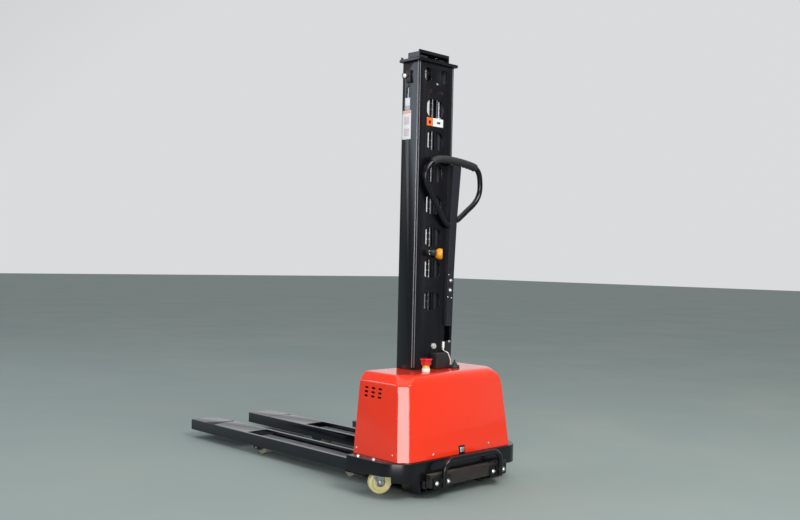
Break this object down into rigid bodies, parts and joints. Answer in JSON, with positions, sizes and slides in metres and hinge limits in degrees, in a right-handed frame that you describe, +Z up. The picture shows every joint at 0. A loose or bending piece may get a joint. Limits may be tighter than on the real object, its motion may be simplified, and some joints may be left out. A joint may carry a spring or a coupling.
{
  "type": "walkie stacker",
  "caption": "Self-loading pedestrian stacker with an upright mast, lifting open-frame forks, sliding straddle legs, a hooded drive base on casters and a loop handle.",
  "frame": {"origin": "on the ground, under the middle of the bounding box", "axes": "+Z up the mast, +Y toward the fork tips, +X to the operator's right when facing the forks"},
  "size_m": [0.75, 1.6675, 1.772],
  "materials": {
    "black_paint": "semi-gloss powder coat",
    "satin_black_paint": "satin paint",
    "red_paint": "gloss orange-red paint on pressed sheet",
    "zinc_plate": "bright zinc plate",
    "chrome_rod": "polished hard chrome",
    "bright_steel": "turned steel",
    "chain_steel": "oiled dark steel",
    "black_rubber": "matte",
    "black_plastic": "fine texture",
    "cream_polyurethane": "satin polyurethane",
    "orange_knob": "gloss",
    "red_button": "gloss",
    "yellow_ring": "satin",
    "white_plastic": "satin",
    "battery_case": "moulded",
    "motor_paint": "enamel"
  },
  "bodies": {
    "chassis": {"base_frame": "black_paint", "mast_rear_plate": "black_paint", "mast_upright_left": "black_paint", "mast_upright_right": "black_paint", "mast_cap": "black_paint", "console_post": "black_paint", "loop_handle": "black_paint", "leg_guide_left": "black_paint", "leg_guide_right": "black_paint", "lift_cylinder_left": "black_paint", "lift_cylinder_right": "black_paint", "hood": "red_paint", "caster_mount_left": "zinc_plate", "caster_mount_right": "zinc_plate", "key_switch": "zinc_plate", "chain_back_run": "chain_steel", "handle_grip": "black_rubber", "switch_box": "black_plastic", "toggle_base": "black_plastic", "limit_switch": "black_plastic", "charge_socket": "black_plastic", "estop_ring": "yellow_ring", "estop_base": "white_plastic", "cable_connector": "white_plastic", "connector_cable": "white_plastic", "battery": "battery_case", "pump_unit": "motor_paint"},
    "inner_mast": {"inner_rail_left": "satin_black_paint", "inner_rail_right": "satin_black_paint", "inner_crosshead": "satin_black_paint", "lift_rod_left": "chrome_rod", "lift_rod_right": "chrome_rod", "chain_front_run": "chain_steel"},
    "sheave": {"chain_sheave": "bright_steel"},
    "carriage": {"carriage_frame": "satin_black_paint", "fork_left": "black_paint", "fork_right": "black_paint"},
    "legs": {"leg_left": "black_paint", "leg_right": "black_paint", "leg_crossbar": "black_paint", "pull_handle": "black_paint"},
    "lift_lever": {"lift_lever": "black_plastic", "lever_knob": "orange_knob"},
    "key_rotor": {"key_rotor": "bright_steel"},
    "estop_button": {"estop_button": "red_button"},
    "toggle": {"toggle_boot": "black_rubber"},
    "limit_arm": {"limit_arm": "bright_steel"},
    "roller_low_left": {"mast_roller_low_left": "bright_steel"},
    "roller_high_left": {"mast_roller_high_left": "bright_steel"},
    "leg_wheel_left": {"leg_wheel_left": "cream_polyurethane"},
    "mid_wheel_left": {"mid_wheel_left": "cream_polyurethane"},
    "caster_swivel_left": {"caster_yoke_left": "zinc_plate"},
    "caster_wheel_left": {"caster_wheel_left": "cream_polyurethane"},
    "roller_low_right": {"mast_roller_low_right": "bright_steel"},
    "roller_high_right": {"mast_roller_high_right": "bright_steel"},
    "leg_wheel_right": {"leg_wheel_right": "cream_polyurethane"},
    "mid_wheel_right": {"mid_wheel_right": "cream_polyurethane"},
    "caster_swivel_right": {"caster_yoke_right": "zinc_plate"},
    "caster_wheel_right": {"caster_wheel_right": "cream_polyurethane"}
  },
  "joints": [
    {"name": "inner_mast_slide", "type": "slide", "parent": "chassis", "child": "inner_mast", "axis": [0, 0, 1], "range_m": [0, 0.6], "deforming": ["chain_back_run"]},
    {"name": "carriage_slide", "type": "slide", "parent": "inner_mast", "child": "carriage", "axis": [0, 0, 1], "range_m": [0, 0.6], "deforming": ["chain_front_run"]},
    {"name": "sheave_spin", "type": "hinge", "parent": "inner_mast", "child": "sheave", "pos_m": [0, -0.525, 1.66], "axis": [1, 0, 0], "continuous": true},
    {"name": "roller_low_left_spin", "type": "hinge", "parent": "carriage", "child": "roller_low_left", "pos_m": [-0.076, -0.529, 0.14], "axis": [1, 0, 0], "continuous": true},
    {"name": "roller_high_left_spin", "type": "hinge", "parent": "carriage", "child": "roller_high_left", "pos_m": [-0.076, -0.529, 0.43], "axis": [1, 0, 0], "continuous": true},
    {"name": "roller_low_right_spin", "type": "hinge", "parent": "carriage", "child": "roller_low_right", "pos_m": [0.076, -0.529, 0.14], "axis": [1, 0, 0], "continuous": true},
    {"name": "roller_high_right_spin", "type": "hinge", "parent": "carriage", "child": "roller_high_right", "pos_m": [0.076, -0.529, 0.43], "axis": [1, 0, 0], "continuous": true},
    {"name": "leg_slide", "type": "slide", "parent": "chassis", "child": "legs", "axis": [0, -1, 0], "range_m": [0, 0.5]},
    {"name": "leg_wheel_left_spin", "type": "hinge", "parent": "legs", "child": "leg_wheel_left", "pos_m": [-0.174, 0.292, 0.032], "axis": [1, 0, 0], "continuous": true},
    {"name": "mid_wheel_left_spin", "type": "hinge", "parent": "chassis", "child": "mid_wheel_left", "pos_m": [-0.174, -0.306, 0.03], "axis": [1, 0, 0], "continuous": true},
    {"name": "caster_left_swivel", "type": "hinge", "parent": "chassis", "child": "caster_swivel_left", "pos_m": [-0.309, -0.5875, 0.12], "axis": [0, 0, 1], "continuous": true},
    {"name": "caster_left_spin", "type": "hinge", "parent": "caster_swivel_left", "child": "caster_wheel_left", "pos_m": [-0.2908, -0.59579, 0.047], "axis": [0.4147, 0.91, 0], "continuous": true},
    {"name": "leg_wheel_right_spin", "type": "hinge", "parent": "legs", "child": "leg_wheel_right", "pos_m": [0.174, 0.292, 0.032], "axis": [1, 0, 0], "continuous": true},
    {"name": "mid_wheel_right_spin", "type": "hinge", "parent": "chassis", "child": "mid_wheel_right", "pos_m": [0.174, -0.306, 0.03], "axis": [1, 0, 0], "continuous": true},
    {"name": "caster_right_swivel", "type": "hinge", "parent": "chassis", "child": "caster_swivel_right", "pos_m": [0.309, -0.5875, 0.12], "axis": [0, 0, 1], "continuous": true},
    {"name": "caster_right_spin", "type": "hinge", "parent": "caster_swivel_right", "child": "caster_wheel_right", "pos_m": [0.3272, -0.59579, 0.047], "axis": [0.4147, 0.91, 0], "continuous": true},
    {"name": "lift_lever_swing", "type": "hinge", "parent": "chassis", "child": "lift_lever", "pos_m": [-0.033, -0.586, 0.943], "axis": [0, 1, 0], "range_deg": [-20, 20], "stiffness_Nm_per_rad": 0.6},
    {"name": "key_turn", "type": "hinge", "parent": "chassis", "child": "key_rotor", "pos_m": [0.0138, -0.5783, 0.558], "axis": [0, 1, 0], "range_deg": [0, 90]},
    {"name": "estop_press", "type": "slide", "parent": "chassis", "child": "estop_button", "axis": [0, 0, -1], "range_m": [0, 0.005]},
    {"name": "toggle_tilt", "type": "hinge", "parent": "chassis", "child": "toggle", "pos_m": [0.098, -0.623, 0.472], "axis": [1, 0, 0], "range_deg": [-10, 10], "stiffness_Nm_per_rad": 0.05},
    {"name": "limit_arm_swing", "type": "hinge", "parent": "chassis", "child": "limit_arm", "pos_m": [-0.1145, -0.522, 1.664], "axis": [1, 0, 0], "range_deg": [-15, 15], "stiffness_Nm_per_rad": 0.1}
  ],
  "couplings": [
    {"joint": "carriage_slide", "follows": "inner_mast_slide", "ratio": 1},
    {"joint": "sheave_spin", "follows": "inner_mast_slide", "rad_per_m": 44.843},
    {"joint": "roller_low_left_spin", "follows": "inner_mast_slide", "rad_per_m": 34.483},
    {"joint": "roller_high_left_spin", "follows": "inner_mast_slide", "rad_per_m": -34.483},
    {"joint": "roller_low_right_spin", "follows": "inner_mast_slide", "rad_per_m": 34.483},
    {"joint": "roller_high_right_spin", "follows": "inner_mast_slide", "rad_per_m": -34.483}
  ]
}
